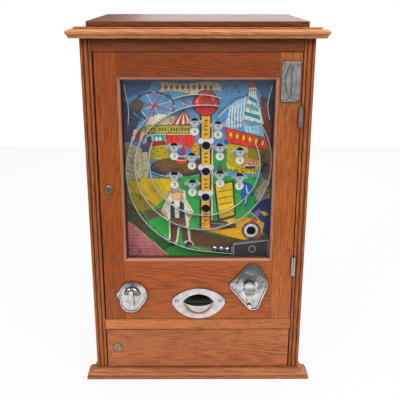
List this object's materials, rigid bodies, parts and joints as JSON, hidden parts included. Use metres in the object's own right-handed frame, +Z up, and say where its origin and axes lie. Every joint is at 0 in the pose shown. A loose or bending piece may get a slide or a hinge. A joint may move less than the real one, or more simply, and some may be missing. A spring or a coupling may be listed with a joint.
{
  "type": "wall flick-ball amusement machine",
  "caption": "Oak-cased flick-ball machine: glazed door with spiral ball tracks and cups, coin entry, flick trigger, claim knob, payout cup and cash door.",
  "frame": {"origin": "centre of the face frame's front, on the underside of the plinth", "axes": "+Z up, +X to the right seen from the front, +Y from the front towards the back"},
  "size_m": [0.527, 0.359, 0.818],
  "materials": {
    "oak_frame": "satin varnished oak",
    "oak_door": "satin varnished oak",
    "oak_light": "satin varnished oak",
    "carcass_wood": "plain brown wood",
    "red_paint": "dark red painted wood",
    "printed_board": "printed and varnished plywood",
    "window_glass": "clear glass",
    "chrome": "polished chrome plate",
    "track_steel": "polished steel strip",
    "dark_steel": "dark grey painted steel",
    "bright_steel": "zinc plated steel",
    "ball_steel": "polished steel ball",
    "nickel": "worn nickel plate",
    "aged_brass": "aged brass",
    "brass": "brass",
    "enamel_white": "white enamel",
    "rubber_brown": "dark brown rubber",
    "gate_black": "black enamelled steel",
    "cash_tin": "grey green painted tin",
    "spring_steel": "oiled spring steel"
  },
  "bodies": {
    "cabinet": {"plinth": "oak_frame", "cornice": "oak_frame", "face_stile_left": "oak_frame", "face_stile_right": "oak_frame", "face_top_rail": "oak_frame", "face_mid_rail": "oak_light", "side_panel_left": "oak_frame", "side_panel_right": "oak_frame", "top_board": "oak_frame", "base_board": "carcass_wood", "back_board": "carcass_wood", "cash_shelf": "carcass_wood", "cash_box": "cash_tin", "hinge_leaves_fixed": "chrome", "lock_strikes": "bright_steel"},
    "cash_door": {"cash_door_panel": "oak_door", "cash_door_pivots": "bright_steel", "cash_lock_barrel": "aged_brass"},
    "cash_lock": {"cash_lock_plug": "aged_brass"},
    "door": {"door_stile_left": "oak_door", "door_stile_right": "oak_door", "door_top_rail": "oak_door", "door_bottom_rail": "oak_door", "window_moulding": "oak_light", "window_glass": "window_glass", "hinge_leaves_moving": "chrome", "door_lock_barrel": "nickel", "playfield_board": "printed_board", "playfield_surround": "red_paint", "track_outer": "track_steel", "track_middle": "track_steel", "track_inner": "track_steel", "track_top": "track_steel", "win_cups": "chrome", "number_discs": "enamel_white", "hole_rims": "chrome", "buffer": "rubber_brown", "side_guards": "track_steel", "launcher_cover": "dark_steel", "steel_balls": "ball_steel", "coin_plate": "chrome", "payout_cup": "chrome", "trigger_plate": "chrome", "knob_plate": "chrome", "plate_screws": "chrome", "coin_chute": "bright_steel", "coin_runway": "bright_steel", "coin_tube": "brass", "payout_bed": "bright_steel", "payout_chute": "bright_steel", "mech_plate": "bright_steel"},
    "door_lock": {"door_lock_plug": "nickel"},
    "trigger": {"trigger_lever": "chrome", "trigger_spindle": "bright_steel", "kicker_arm": "bright_steel", "trigger_spring": "spring_steel"},
    "claim": {"claim_knob": "chrome"},
    "payout": {"payout_slide": "bright_steel"},
    "gate": {"ball_gate": "gate_black"},
    "ball": {"leading_ball": "ball_steel"}
  },
  "joints": [
    {"name": "main_door", "type": "hinge", "parent": "cabinet", "child": "door", "pos_m": [0.215, -0.0048, 0.453], "axis": [0, 0, 1], "range_deg": [0, 110]},
    {"name": "cash_door", "type": "hinge", "parent": "cabinet", "child": "cash_door", "pos_m": [0.2065, 0.0045, 0.071], "axis": [0, 0, 1], "range_deg": [0, 100]},
    {"name": "door_lock", "type": "hinge", "parent": "door", "child": "door_lock", "pos_m": [-0.193, 0, 0.465], "axis": [0, 1, 0], "range_deg": [0, 90]},
    {"name": "cash_lock", "type": "hinge", "parent": "cash_door", "child": "cash_lock", "pos_m": [-0.189, 0, 0.074], "axis": [0, 1, 0], "range_deg": [0, 90]},
    {"name": "trigger_pull", "type": "hinge", "parent": "door", "child": "trigger", "pos_m": [0.118, 0, 0.232], "axis": [0, 1, 0], "range_deg": [0, 42], "stiffness_Nm_per_rad": 0.3, "springref_deg": -20.05},
    {"name": "claim_turn", "type": "hinge", "parent": "door", "child": "claim", "pos_m": [-0.151, 0, 0.212], "axis": [0, 1, 0], "range_deg": [0, 90], "stiffness_Nm_per_rad": 0.08, "springref_deg": -22.92},
    {"name": "payout_push", "type": "slide", "parent": "door", "child": "payout", "axis": [1, 0, 0], "range_m": [0, 0.0312]},
    {"name": "gate_swing", "type": "hinge", "parent": "door", "child": "gate", "pos_m": [0.149, 0.035, 0.512], "axis": [0, 1, 0], "range_deg": [-30, 0], "stiffness_Nm_per_rad": 0.002, "springref_deg": 17.19},
    {"name": "ball_launch", "type": "slide", "parent": "door", "child": "ball", "axis": [-0.9954, 0, 0.0962], "range_m": [0, 0.034]}
  ],
  "couplings": [
    {"joint": "payout_push", "follows": "claim_turn", "m_per_rad": 0.019807}
  ]
}
